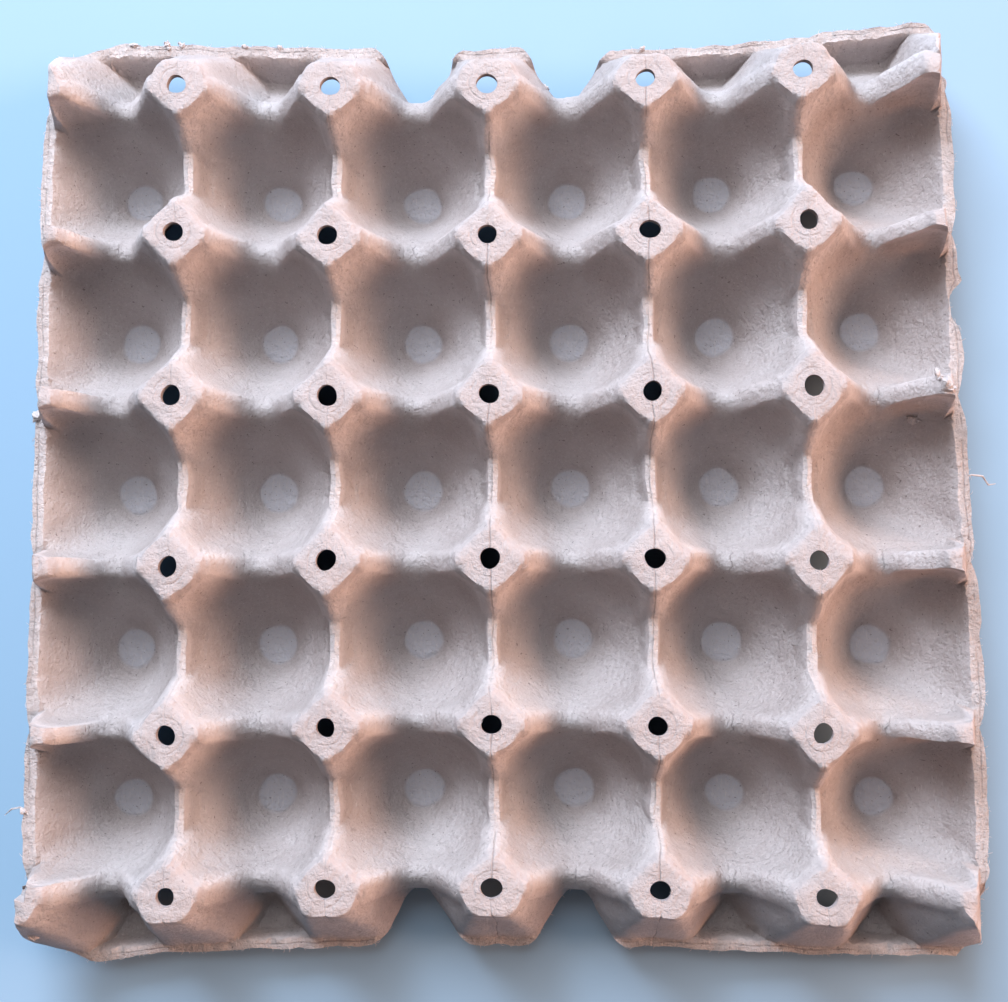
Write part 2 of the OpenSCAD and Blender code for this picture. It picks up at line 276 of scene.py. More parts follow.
def end_loop(column):
    """Border of an end unit in local x and outward distance, as a loop of points."""
    edge = mirrored(border(HALF_X, 0.9))
    centre = (column - (COLUMNS - 1) / 2) * PITCH_X
    outer = [(x, end_edge(x + centre, column)) for x in edge]
    loop = [(x, 0.0) for x in mirrored(BORDER_X)]
    loop += [(HALF_X - p[1], p[0]) for p in ARC][1:-1]
    loop += [(HALF_X, q) for q in BORDER_Q[:-1]]
    loop += outer[::-1]
    loop += [(-HALF_X, q) for q in reversed(BORDER_Q[:-1])]
    loop += [(-HALF_X + p[1], p[0]) for p in ARC][::-1][1:-1]
    return loop


def corner_loop(cut_x, cut_y):
    """Border of a corner unit with its outer edge towards +X, in local x and outward distance."""
    depth = RIM_END
    xs = [-x for x in reversed(BORDER_X)] + BORDER_OUT[1:]
    side_q = border(depth - cut_y, 1.15)
    cut = border(math.hypot(cut_x, cut_y), 1.15)
    chamfer = [(RIM_SIDE - cut_x * c / cut[-1], depth - cut_y + cut_y * c / cut[-1]) for c in cut]
    outer = border(RIM_SIDE - cut_x + HALF_X, 1.1)
    dip = [RIM_SIDE - 1.6 * (1 - q / HALF_Y) ** 6 for q in side_q]
    loop = [(x, 0.0) for x in xs[:-1]]
    loop += list(zip(dip, side_q))[:-1]
    loop += chamfer[:-1]
    loop += [(RIM_SIDE - cut_x - d, depth) for d in outer]
    loop += [(-HALF_X, q) for q in reversed(BORDER_Q[:-1])]
    loop += [(-HALF_X + p[1], p[0]) for p in ARC][::-1][1:-1]
    return loop


LEAST_GAP, MOST_GAP = 0.78, 2.4


# Rows of points along the edges of floor discs and post tops
def disc_rows():
    rows = []
    for r, count in ((FLOOR_R - 0.6, 40), (FLOOR_R, 48), (FLOOR_R + 0.7, 48)):
        turns = [2 * math.pi * i / count for i in range(count)]
        rows += [(r * math.cos(t), r * math.sin(t)) for t in turns]
    return rows


def post_rows(sx, sy, end=False):
    """Rows round a quarter of the post top at the corner that sx and sy point to."""
    rows = []
    cy = 0 if end else sy * HALF_Y
    for i in range(1, 20):
        t = math.pi / 2 * i / 20
        c, d = math.cos(t), math.sin(t)
        if end:
            r = min(1 / (c / POST_REACH + d / SKIRT_REACH), POST_FLAT / d)
        else:
            r = min(POST_REACH / c, POST_REACH / d, POST_FLAT * math.sqrt(2) / (c + d))
        for step in (-0.75, 0, 0.75):
            rows.append((sx * (HALF_X - (r + step) * c), cy + (1 if end else -sy) * (r + step) * d))
    return rows


def ridge_rows(out_x):
    """Rows along the edges of the ridges of a cell."""
    rows = []
    for y in np.arange(-HALF_Y + POST_REACH, HALF_Y - POST_REACH, 0.8):
        rows.append((RIDGE_W / 2 - HALF_X, y))
        if out_x == HALF_X:
            rows.append((HALF_X - RIDGE_W / 2, y))
    return rows


def rim_rows(place, out_x):
    """Rows along the rim of a cell, where its bowl cuts the roof."""
    turns = np.linspace(0, 2 * math.pi, 180, endpoint=False)[:, None]
    r = np.arange(14, 34, 0.1)[None]
    roof, bowl, _ = sheet_parts(*place(r * np.cos(turns), r * np.sin(turns)))
    rim = r[0][np.argmax(bowl > roof, axis=1)]
    rows = []
    for step in (0, 0.7):
        for turn, at in zip(turns[:, 0], rim + step):
            x, y = at * math.cos(turn), at * math.sin(turn)
            if -HALF_X + 0.4 < x < out_x - 0.4 and abs(y) < HALF_Y - 0.4:
                rows.append((x, y))
    return rows


# Fill of a unit: points as close as its curvature asks, joined into triangles
BUCKET = 2.4


def bucket(x, y):
    return int(x // BUCKET), int(y // BUCKET)


def crowded(buckets, x, y, clearance):
    """Whether a point that is already there lies within the clearance."""
    bx, by = bucket(x, y)
    limit = clearance**2
    near = ((bx + i, by + j) for i in (-1, 0, 1) for j in (-1, 0, 1))
    return any((ox - x) ** 2 + (oy - y) ** 2 < limit for key in near for ox, oy in buckets.get(key, ()))


def spacing_field(height, x, y):
    h = 0.6
    z = height(x, y)
    zx, wx = height(x + h, y), height(x - h, y)
    zy, wy = height(x, y + h), height(x, y - h)
    bend = np.maximum(np.abs(zx + wx - 2 * z), np.abs(zy + wy - 2 * z)) / h**2
    steep = np.sqrt(1 + ((zx - wx) / 2 / h) ** 2 + ((zy - wy) / 2 / h) ** 2)
    return np.clip(np.sqrt(0.34 * steep / (bend + 1e-6)), LEAST_GAP, MOST_GAP)


def fill_unit(loop, rows, height, seed):
    """Vertices and triangles of a unit, in its own plan."""
    rng = np.random.default_rng(seed)
    corners = np.array(loop)
    low, high = corners.min(0), corners.max(0)
    step = 0.5
    gx, gy = np.meshgrid(np.arange(low[0], high[0], step), np.arange(low[1], high[1], step))
    trial = np.stack([gx.ravel(), gy.ravel()], 1) + rng.uniform(-0.2, 0.2, (gx.size, 2))
    gap = spacing_field(height, trial[:, 0], trial[:, 1])
    order = np.argsort(gap + rng.uniform(0, 0.5, len(gap)))
    buckets = {}
    for x, y in loop:
        buckets.setdefault(bucket(x, y), []).append((x, y))
    inside = []
    wanted = [(p[0], p[1], 0.5) for p in rows] + [(trial[i][0], trial[i][1], gap[i]) for i in order]
    for x, y, clearance in wanted:
        if not crowded(buckets, x, y, clearance):
            buckets.setdefault(bucket(x, y), []).append((x, y))
            inside.append((x, y))
    points = [Vector(p) for p in loop] + [Vector(p) for p in inside]
    result = delaunay_2d_cdt(points, [], [list(range(len(loop)))], 1, 1e-5)
    return np.array([tuple(p) for p in result[0]]), np.array(result[2])


def unit_sheet(loop, rows, place, seed):
    """A unit's mesh data: place maps its own plan to the tray's plan."""
    def height(x, y):
        return top_height(*place(x, y))

    plan, faces = fill_unit(loop, rows, height, seed)
    used = np.unique(faces)
    index = np.full(len(plan), -1)
    index[used] = np.arange(len(used))
    plan, faces = plan[used], index[faces]
    return plan, faces, height(plan[:, 0], plan[:, 1])


# Units laid out on the lattice by geometry nodes
def repeat_tree():
    """A node tree that sets a unit on a grid of places and turns those on the left round."""
    tree = bpy.data.node_groups.new("repeat_unit", "GeometryNodeTree")
    tree.is_modifier = True
    face = tree.interface
    face.new_socket(name="Geometry", in_out="OUTPUT", socket_type="NodeSocketGeometry")
    face.new_socket(name="Unit", in_out="INPUT", socket_type="NodeSocketObject")
    for name in ("Columns", "Rows"):
        face.new_socket(name=name, in_out="INPUT", socket_type="NodeSocketInt")
    for name in ("Width", "Depth", "Turn"):
        face.new_socket(name=name, in_out="INPUT", socket_type="NodeSocketFloat")
    face.new_socket(name="Material", in_out="INPUT", socket_type="NodeSocketMaterial")
    nodes, links = tree.nodes, tree.links
    given = nodes.new("NodeGroupInput")
    grid = nodes.new("GeometryNodeMeshGrid")
    unit = nodes.new("GeometryNodeObjectInfo")
    spread = nodes.new("GeometryNodeInstanceOnPoints")
    solid = nodes.new("GeometryNodeRealizeInstances")
    paint = nodes.new("GeometryNodeSetMaterial")
    out = nodes.new("NodeGroupOutput")
    place = nodes.new("GeometryNodeInputPosition")
    split = nodes.new("ShaderNodeSeparateXYZ")
    left = nodes.new("ShaderNodeMath")
    left.operation = "LESS_THAN"
    left.inputs[1].default_value = 0
    angle = nodes.new("ShaderNodeMath")
    angle.operation = "MULTIPLY"
    euler = nodes.new("ShaderNodeCombineXYZ")
    turn = nodes.new("FunctionNodeEulerToRotation")
    links.new(given.outputs["Columns"], grid.inputs["Vertices X"])
    links.new(given.outputs["Rows"], grid.inputs["Vertices Y"])
    links.new(given.outputs["Width"], grid.inputs["Size X"])
    links.new(given.outputs["Depth"], grid.inputs["Size Y"])
    links.new(given.outputs["Unit"], unit.inputs["Object"])
    links.new(place.outputs[0], split.inputs[0])
    links.new(split.outputs["X"], left.inputs[0])
    links.new(left.outputs[0], angle.inputs[0])
    links.new(given.outputs["Turn"], angle.inputs[1])
    links.new(angle.outputs[0], euler.inputs["Z"])
    links.new(euler.outputs[0], turn.inputs[0])
    links.new(grid.outputs["Mesh"], spread.inputs["Points"])
    links.new(unit.outputs["Geometry"], spread.inputs["Instance"])
    links.new(turn.outputs[0], spread.inputs["Rotation"])
    links.new(spread.outputs[0], solid.inputs[0])
    links.new(solid.outputs[0], paint.inputs["Geometry"])
    links.new(given.outputs["Material"], paint.inputs["Material"])
    links.new(paint.outputs[0], out.inputs["Geometry"])
    return tree


def set_inputs(modifier, tree, values):
    for item in tree.interface.items_tree:
        if item.in_out == "INPUT" and item.name in values:
            modifier[item.identifier] = values[item.name]


def mesh_object(name, points, faces):
    mesh = bpy.data.meshes.new(name)
    mesh.from_pydata([tuple(p) for p in points], [], [tuple(int(i) for i in f) for f in faces])
    obj = bpy.data.objects.new(name, mesh)
    bpy.context.scene.collection.objects.link(obj)
    return obj


def drop(obj):
    mesh = obj.data
    bpy.data.objects.remove(obj)
    if mesh and mesh.users == 0:
        bpy.data.meshes.remove(mesh)


def node_mesh(tree, values):
    """Vertices and triangles that a node tree makes from its inputs."""
    host = mesh_object("host", [], [])
    modifier = host.modifiers.new("nodes", "NODES")
    modifier.node_group = tree
    set_inputs(modifier, tree, values)
    bpy.context.view_layer.update()
    shown = host.evaluated_get(bpy.context.evaluated_depsgraph_get())
    mesh = bpy.data.meshes.new_from_object(shown)
    points = np.empty(len(mesh.vertices) * 3)
    mesh.vertices.foreach_get("co", points)
    triangles = np.empty(len(mesh.loops), dtype=np.int64)
    mesh.loops.foreach_get("vertex_index", triangles)
    bpy.data.meshes.remove(mesh)
    drop(host)
    return points.reshape(-1, 3), triangles.reshape(-1, 3)


def repeated(tree, material, sheet, columns, rows, width, depth, turn=0.0):
    """A unit repeated over a lattice."""
    plan, faces, z = sheet
    unit = mesh_object("unit", np.column_stack([plan, z]), faces)
    made = node_mesh(tree, {"Unit": unit, "Columns": columns, "Rows": rows, "Width": width,
                            "Depth": depth, "Turn": turn, "Material": material})
    drop(unit)
    return made


def end_place(column, front):
    centre = (column - (COLUMNS - 1) / 2) * PITCH_X
    if front is None:
        return lambda x, y: (x + centre, y)
    sign = -1 if front else 1
    return lambda x, q: (x + centre, sign * (ROW_Y + q))


def corner_place(right, front):
    sx, sy = (1 if right else -1), (-1 if front else 1)
    return lambda x, q: (sx * (x + CELL_X), sy * (ROW_Y + q))


def placed(sheet, place):
    plan, faces, z = sheet
    x, y = place(plan[:, 0], plan[:, 1])
    return np.column_stack([x, y, z]), faces


CORNER_CUTS = {(False, True): (15.0, 5.0), (True, True): (6.0, 6.0),
               (False, False): (19.0, 5.0), (True, False): (5.0, 6.0)}


def top_sheet(material):
    """The whole upper face: repeated cells, pockets and side cells, and single gaps and corners."""
    tree = repeat_tree()
    parts = []
    discs = disc_rows()
    right = post_rows(1, 1) + post_rows(1, -1)
    left = post_rows(-1, 1) + post_rows(-1, -1)
    middle = end_place(3, None)
    width, depth = PITCH_X * (COLUMNS - 3), PITCH_Y * (ROWS - 1)
    rows = discs + ridge_rows(HALF_X) + rim_rows(middle, HALF_X) + left + right
    cell = unit_sheet(cell_loop(), rows, middle, 1)
    parts.append(repeated(tree, material, cell, COLUMNS - 2, ROWS, width, depth))
    outer = end_place(COLUMNS - 1, None)
    rows = discs + ridge_rows(RIM_SIDE) + rim_rows(outer, RIM_SIDE) + left
    edge = unit_sheet(side_loop(), rows, outer, 2)
    parts.append(repeated(tree, material, edge, 2, ROWS, 2 * CELL_X, depth, math.pi))
    for front in (True, False):
        for column in (1, 2, 3, 4):
            rows = post_rows(-1, 1, True) + post_rows(1, 1, True)
            sheet = unit_sheet(end_loop(column), rows, end_place(column, front), 3 + column)
            parts.append(placed(sheet, end_place(column, front)))
        for right in (True, False):
            cut_x, cut_y = CORNER_CUTS[(right, front)]
            rows = post_rows(-1, 1, True)
            sheet = unit_sheet(corner_loop(cut_x, cut_y), rows, corner_place(right, front), 9)
            parts.append(placed(sheet, corner_place(right, front)))
    bpy.data.node_groups.remove(tree)
    return welded(parts)


def welded(parts):
    """One list of vertices and triangles, facing up, with doubles merged."""
    points, faces, first = [], [], 0
    for p, f in parts:
        points.append(p)
        faces.append(f + first)
        first += len(p)
    points, faces = np.concatenate(points), np.concatenate(faces)
    keys = np.round(points[:, :2] / 0.02).astype(np.int64)
    _, index, inverse = np.unique(keys, axis=0, return_index=True, return_inverse=True)
    points, faces = points[index], inverse.reshape(-1)[faces]
    a, b, c = (points[faces[:, i], :2] for i in range(3))
    area = (b[:, 0] - a[:, 0]) * (c[:, 1] - a[:, 1]) - (b[:, 1] - a[:, 1]) * (c[:, 0] - a[:, 0])
    faces[area < 0] = faces[area < 0][:, ::-1]
    return points, faces[np.abs(area) > 1e-6]


# Underside: the upper face set back by the sheet's thickness
RASTER = 0.5
SPAN = 156.0


def sampled(field, x, y):
    gx, gy = (x + SPAN) / RASTER, (y + SPAN) / RASTER
    ix, iy = gx.astype(int), gy.astype(int)
    fx, fy = gx - ix, gy - iy
    low = field[iy, ix] * (1 - fx) + field[iy, ix + 1] * fx
    high = field[iy + 1, ix] * (1 - fx) + field[iy + 1, ix + 1] * fx
    return low * (1 - fy) + high * fy


def height_raster():
    line = np.arange(-SPAN, SPAN + RASTER, RASTER)
    gx, gy = np.meshgrid(line, line)
    return top_height(gx, gy)


def under_raster(field):
    reach = int(WALL / RASTER)
    result = field - WALL
    for i in range(-reach, reach + 1):
        for j in range(-reach, reach + 1):
            d = (i * i + j * j) * RASTER**2
            if 0 < d <= WALL**2:
                moved = np.roll(np.roll(field, i, 0), j, 1) - math.sqrt(WALL**2 - d)
                result = np.minimum(result, moved)
    return np.maximum(result, 0)


def blurred(field, steps):
    kernel = np.exp(-np.linspace(-2, 2, 2 * steps + 1) ** 2)
    kernel /= kernel.sum()
    for axis in (0, 1):
        field = np.apply_along_axis(lambda line: np.convolve(line, kernel, "same"), axis, field)
    return field


# Wear: uneven pulp, deckled edges, a nick, bent corners
NICK_Y, NICK_HALF, NICK_D = 51.0, 6.0, 3.0


def waves(x, y, size, seed):
    """Smooth uneven field between about -1 and 1."""
    rng = np.random.default_rng(seed)
    total = np.zeros_like(x)
    for _ in range(14):
        angle = rng.uniform(0, 2 * math.pi)
        length = size * rng.uniform(0.6, 1.8)
        phase = rng.uniform(0, 2 * math.pi)
        total += np.sin((x * math.cos(angle) + y * math.sin(angle)) * 2 * math.pi / length + phase)
    return total / 5


def rim_edges(faces):
    """Edges with one triangle, in the direction of that triangle."""
    edges = np.concatenate([faces[:, [0, 1]], faces[:, [1, 2]], faces[:, [2, 0]]])
    key = np.sort(edges, 1)
    _, first, count = np.unique(key, axis=0, return_index=True, return_counts=True)
    return edges[first[count == 1]]


def worn_points(points, outline):
    """The same points with the wear of the photographed tray; outline marks those on the outer edge."""
    x, y, z = points.T.copy()
    sway_x, sway_y = 0.35 * waves(x, y, 13, 36), 0.35 * waves(x, y, 13, 37)
    rough = waves(x, y, 11, 31) * 0.25 + waves(x, y, 3.6, 32) * 0.12
    near_side = smooth_step(EDGE_X - 3.5, EDGE_X, np.abs(x))
    near_end = smooth_step(EDGE_Y - 3.0, EDGE_Y, np.abs(y))
    x += np.sign(x) * rough * near_side
    y += np.sign(y) * rough * near_end
    nick = NICK_D * np.exp(-(((y - NICK_Y) / NICK_HALF) ** 4)) - np.exp(-(((y - NICK_Y - 8) / 1.6) ** 2))
    x -= np.where(x > 0, nick * near_side, 0)
    z += 0.22 * waves(x, y, 17, 33) + 0.10 * waves(x, y, 6, 34)
    z += outline * 0.35 * waves(x, y, 12, 35)
    x, y = x + sway_x, y + sway_y
    return np.column_stack([x, y, z])


def warped(points):
    """The slow bend of the whole tray, its uneven edges, and the back right corner bent up."""
    x, y, z = points.T.copy()
    a, b = np.clip(x / 120, -0.8, 0.8), np.clip(y / 120, -1.02, 1.02)
    shift_x = 2.41 * a - 2.95 * a**3 - 0.73 * a * b**2 - 0.24 * a * b
    shift_y = 0.75 * b - 3.14 * b**3 + (9.23 * b - 5.27 * b**3 - 0.36) * a**2
    right, left = smooth_step(122, EDGE_X, x), smooth_step(122, EDGE_X, -x)
    back, front = smooth_step(ROW_Y + 3, EDGE_Y, y), smooth_step(ROW_Y + 3, EDGE_Y, -y)
    shift_x += 2.8 * right * smooth_step(30, -60, y) - 1.0 * left * smooth_step(40, -100, y)
    shift_y -= (0.016 * x + 1.3 * np.exp(-(((x - 55) / 30) ** 2))) * back
    shift_y -= 2.8 * np.exp(-(((x + 127) / 15) ** 2)) * front
    corner = smooth_step(85, 140, x) * smooth_step(116, EDGE_Y, y)
    x += shift_x
    y += shift_y + 3.0 * corner
    z += 4.0 * corner
    return np.column_stack([x, y, z])


# Loose fibres, long strands and torn tufts, with the places of the tufts as x, y and size
TUFTS = ((-145, 23, 2.0), (-118, 149, 1.5), (-107, 150, 1.7), (-102, 148, 1.4), (-81, 149, 1.2),
         (-70, 148, 1.2), (18, 132, 1.2), (49, 142, 1.4), (132, 28, 2.2), (133, 24, 2.7), (131, 20, 2.4),
         (-145, -100, 1.5), (-140, -138, 1.6))
STRANDS = (((142, -1, 27), (146, 0.6, 27.6), (149.5, 0.2, 27), (151.5, -2.4, 26), (154, -2, 25)),
           ((-144, -100.5, 26), (-147, -99, 26.6), (-150, -99.6, 26), (-152.5, -101.6, 25)))
STRAND_R = 0.34
EDGE_FIBRES, CREST_FIBRES, SHEET_FIBRES = 300, 180, 160


def tube(path, thickness, sides=5):
    """A closed strand along a path, thinner towards its ends."""
    path = np.array(path, dtype=float)
    along = np.gradient(path, axis=0)
    along /= np.linalg.norm(along, axis=1)[:, None]
    across = np.cross(along, (0.3, 0.2, 1.0))
    across /= np.linalg.norm(across, axis=1)[:, None]
    other = np.cross(along, across)
    size = thickness * (1 - 0.7 * np.linspace(-1, 1, len(path)) ** 2)
    rings = []
    for t in np.arange(sides) * 2 * math.pi / sides:
        rings.append(path + size[:, None] * (across * math.cos(t) + other * math.sin(t)))
    faces = []
    last = (len(path) - 1) * sides
    for a in range(last):
        b = a + 1 if (a + 1) % sides else a + 1 - sides
        faces += [(a, b, b + sides), (a, b + sides, a + sides)]
    for j in range(1, sides - 1):
        faces += [(0, j + 1, j), (last, last + j, last + j + 1)]
    return np.stack(rings, 1).reshape(-1, 3), np.array(faces)


def tuft(place, size, seed):
    """A small torn clump with an uneven surface."""
    rng = np.random.default_rng(seed)
    turn = rng.uniform(0, math.pi)
    reach = np.linspace(-1, 1, 9)[:, None] * np.array((math.cos(turn), math.sin(turn), 0.2)) * size
    points, faces = tube(place + reach, size * 0.6, 12)
    for axis in range(3):
        uneven = waves(points[:, 0], points[:, 1] + points[:, 2], size * 1.1, seed + axis)
        points[:, axis] += 0.3 * size * uneven
    return points, faces


def fringe_tree():
    """A node tree that sets a fibre at each place, turned and sized at random."""
    tree = bpy.data.node_groups.new("fibre_fringe", "GeometryNodeTree")
    tree.is_modifier = True
    face = tree.interface
    face.new_socket(name="Geometry", in_out="OUTPUT", socket_type="NodeSocketGeometry")
    for name in ("Places", "Fibre"):
        face.new_socket(name=name, in_out="INPUT", socket_type="NodeSocketObject")
    for name in ("Shortest", "Longest", "Tilt"):
        face.new_socket(name=name, in_out="INPUT", socket_type="NodeSocketFloat")
    face.new_socket(name="Seed", in_out="INPUT", socket_type="NodeSocketInt")
    face.new_socket(name="Material", in_out="INPUT", socket_type="NodeSocketMaterial")
    nodes, links = tree.nodes, tree.links
    given = nodes.new("NodeGroupInput")
    places = nodes.new("GeometryNodeObjectInfo")
    fibre = nodes.new("GeometryNodeObjectInfo")
    dots = nodes.new("GeometryNodeMeshToPoints")
    least = nodes.new("ShaderNodeCombineXYZ")
    most = nodes.new("ShaderNodeCombineXYZ")
    most.inputs["Z"].default_value = 2 * math.pi
    lean = nodes.new("ShaderNodeMath")
    lean.operation = "MULTIPLY"
    lean.inputs[1].default_value = -1
    angles = nodes.new("FunctionNodeRandomValue")
    angles.data_type = "FLOAT_VECTOR"
    length = nodes.new("FunctionNodeRandomValue")
    length.data_type = "FLOAT"
    turn = nodes.new("FunctionNodeEulerToRotation")
    spread = nodes.new("GeometryNodeInstanceOnPoints")
    solid = nodes.new("GeometryNodeRealizeInstances")
    paint = nodes.new("GeometryNodeSetMaterial")
    out = nodes.new("NodeGroupOutput")
    links.new(given.outputs["Places"], places.inputs["Object"])
    links.new(given.outputs["Fibre"], fibre.inputs["Object"])
    links.new(given.outputs["Tilt"], lean.inputs[0])
    for axis in ("X", "Y"):
        links.new(lean.outputs[0], least.inputs[axis])
        links.new(given.outputs["Tilt"], most.inputs[axis])
    links.new(least.outputs[0], angles.inputs[0])
    links.new(most.outputs[0], angles.inputs[1])
    links.new(given.outputs["Shortest"], length.inputs[2])
    links.new(given.outputs["Longest"], length.inputs[3])
    for chance in (angles, length):
        links.new(given.outputs["Seed"], chance.inputs["Seed"])
    links.new(angles.outputs[0], turn.inputs[0])
    links.new(places.outputs["Geometry"], dots.inputs["Mesh"])
    links.new(dots.outputs[0], spread.inputs["Points"])
    links.new(fibre.outputs["Geometry"], spread.inputs["Instance"])
    links.new(turn.outputs[0], spread.inputs["Rotation"])
    links.new(length.outputs[1], spread.inputs["Scale"])
    links.new(spread.outputs[0], solid.inputs[0])
    links.new(solid.outputs[0], paint.inputs["Geometry"])
    links.new(given.outputs["Material"], paint.inputs["Material"])
    links.new(paint.outputs[0], out.inputs["Geometry"])
    return tree


def loose_parts(material, top, outline, bulge):
    """Fibres along the edge and over the sheet, long strands and tufts."""
    rng = np.random.default_rng(51)
    edge = np.flatnonzero(outline)
    crest = np.flatnonzero((bulge > 0.3) & ~outline)
    chosen = {"edge": (rng.choice(edge, EDGE_FIBRES, False), 0.9, 2.6, 0.6, 1),
              "crest": (rng.choice(crest, CREST_FIBRES, False), 0.9, 2.2, 0.3, 2),
              "sheet": (rng.choice(len(top), SHEET_FIBRES, False), 0.9, 2.2, 0.3, 3)}
    t = np.linspace(0, 1, 6)
    bend = np.column_stack([t - 0.5, 0.16 * np.sin(math.pi * t), 0.1 * np.sin(2 * math.pi * t)])
    fibre = mesh_object("fibre", *tube(bend, 0.035, 4))
    tree = fringe_tree()
    parts = []
    for index, short, long, tilt, seed in chosen.values():
        places = mesh_object("places", top[index], [])
        parts.append(node_mesh(tree, {"Places": places, "Fibre": fibre, "Shortest": short, "Longest": long,
                                      "Tilt": tilt, "Seed": seed, "Material": material}))
        drop(places)
    drop(fibre)
    bpy.data.node_groups.remove(tree)
    parts += [tube(path, STRAND_R) for path in STRANDS]
    for i, (x, y, size) in enumerate(TUFTS):
        near = np.argmin(np.hypot(top[:, 0] - x, top[:, 1] - y))
        parts.append(tuft(top[near], size, 60 + 4 * i))
    return parts


def stored(mesh, name, kind, field, values):
    layer = mesh.attributes.new(name, kind, "POINT")
    layer.data.foreach_set(field, values.astype(np.float32).ravel())


def build_tray(material):
    top, faces = top_sheet(material)
    field = height_raster()
    under = under_raster(field)
    edges = rim_edges(faces)
    on_rim = np.zeros(len(top), dtype=bool)
    on_rim[edges.ravel()] = True
    ax, ay = np.abs(top[:, 0]), np.abs(top[:, 1])
    outline = on_rim & ((ax > EDGE_X - 4) | (ay > ROW_Y + 4))
    low = sampled(under, top[:, 0], top[:, 1])
    low = np.where(outline, top[:, 2] - 1.5, low)
    foot = np.where(top[:, 2] < FLOOR_T + 0.2, 0, low)
    bottom = np.column_stack([top[:, :2], np.minimum(foot, top[:, 2] - 1.0)])
    bulge = top[:, 2] - sampled(blurred(field, 10), top[:, 0], top[:, 1])
    n = len(top)
    plan = np.concatenate([top, bottom])
    points = warped(np.concatenate([worn_points(top, outline), worn_points(bottom, outline)]))
    points[n:, 2] = np.maximum(points[n:, 2], 0)
    a, b = edges[:, 0], edges[:, 1]
    sides = np.concatenate([np.column_stack([b, a, a + n]), np.column_stack([b, a + n, b + n])])
    all_faces = np.concatenate([faces, faces[:, ::-1] + n, sides])
    wear = np.clip(np.concatenate([bulge, bulge * 0]) / 3.0, -1, 1)
    for extra, extra_faces in loose_parts(material, points[:n], outline, bulge):
        all_faces = np.concatenate([all_faces, extra_faces + len(points)])
        points = np.concatenate([points, extra])
        wear = np.concatenate([wear, np.full(len(extra), 0.6)])
        plan = np.concatenate([plan, extra * 0])
    tray = mesh_object("pulp_tray", points * MM, all_faces)
    mesh = tray.data
    stored(mesh, "worn", "FLOAT", "value", wear)
    stored(mesh, "plan", "FLOAT_VECTOR", "vector", plan)
    mesh.polygons.foreach_set("use_smooth", np.ones(len(mesh.polygons), dtype=bool))
    mesh.set_sharp_from_angle(angle=math.radians(40))
    mesh.materials.append(material)
    return tray


# Pulp: pinkish grey felt with pale fibres, dark specks and worn pale edges, with painted shade in the bowls,
# in the holes and on the post tops, and painted cool light on the floor discs
BASE_DARK, BASE_PALE = (0.50, 0.425, 0.41, 1), (0.58, 0.515, 0.505, 1)
# A painted shade tone for the bowls, the holes and the post tops, and a painted cool light tone for the floor
# discs
PAINTED_SHADE_TONE, DISC_PAINTED_SKYLIGHT_TONE = (0.40, 0.345, 0.345, 1), (0.62, 0.635, 0.71, 1)
GRAIN_TONE, FIBRE_TONE = (0.68, 0.615, 0.60, 1), (0.78, 0.73, 0.72, 1)
SPECK_TONE, WORN_TONE, LINE_TONE = (0.15, 0.115, 0.10, 1), (0.86, 0.775, 0.765, 1), (0.13, 0.09, 0.08, 1)


def add(nodes, kind, **values):
    node = nodes.new(kind)
    for name, value in values.items():
        setattr(node, name, value)
    return node


class Wiring:
    """Short ways to add and join a material's nodes."""

    def __init__(self, tree):
        self.nodes, self.links = tree.nodes, tree.links

    def feed(self, socket, value):
        if isinstance(value, (int, float, tuple)):
            socket.default_value = value
        else:
            self.links.new(value, socket)

    def calc(self, operation, *values):
        node = add(self.nodes, "ShaderNodeMath", operation=operation)
        for socket, value in zip(node.inputs, values):
            self.feed(socket, value)
        return node.outputs[0]

    def ramp(self, source, low, high):
        node = add(self.nodes, "ShaderNodeMapRange", interpolation_type="SMOOTHSTEP")
        self.feed(node.inputs["From Min"], low)
        self.feed(node.inputs["From Max"], high)
        self.feed(node.inputs["Value"], source)
        return node.outputs["Result"]

    def mix(self, share, a, b):
        node = add(self.nodes, "ShaderNodeMix", data_type="RGBA")
        self.feed(node.inputs["Factor"], share)
        self.feed(node.inputs[6], a)
        self.feed(node.inputs[7], b)
        return node.outputs[2]

    def noise(self, place, scale, detail=4.0, rough=0.55):
        node = add(self.nodes, "ShaderNodeTexNoise")
        self.feed(node.inputs["Scale"], float(scale))
        self.feed(node.inputs["Detail"], float(detail))
        self.feed(node.inputs["Roughness"], rough)
        self.feed(node.inputs["Vector"], place)
        return node.outputs["Fac"]

    def turned(self, place, scale, turn):
        node = add(self.nodes, "ShaderNodeMapping")
        self.feed(node.inputs["Scale"], scale)
        self.feed(node.inputs["Rotation"], turn)
        self.feed(node.inputs["Vector"], place)
        return node.outputs[0]

    def bump(self, height, strength, distance, normal=None):
        node = add(self.nodes, "ShaderNodeBump")
        self.feed(node.inputs["Strength"], strength)
        self.feed(node.inputs["Distance"], distance)
        self.feed(node.inputs["Height"], height)
        if normal:
            self.feed(node.inputs["Normal"], normal)
        return node.outputs["Normal"]


def radius(w, x, y):
    return w.calc("SQRT", w.calc("ADD", w.calc("MULTIPLY", x, x), w.calc("MULTIPLY", y, y)))


def seam_mask(w, place, x, y, z, off):
    """Fine lines along the tops of the ridges, strongest near the middle."""
    high = w.calc("MAXIMUM", w.ramp(z, 30, 32), w.ramp(w.calc("ABSOLUTE", y), ROW_Y, ROW_Y + 2))
    middle = w.calc("MULTIPLY", w.ramp(x, -30, -18), w.ramp(x, 78, 66))
    strength = w.calc("MULTIPLY_ADD", middle, 0.7, 0.25)
    line = w.calc("MULTIPLY", w.ramp(off, 0.30, 0.08), w.ramp(w.noise(place, 70), 0.40, 0.56))
    return w.calc("MULTIPLY", w.calc("MULTIPLY", line, high), strength)


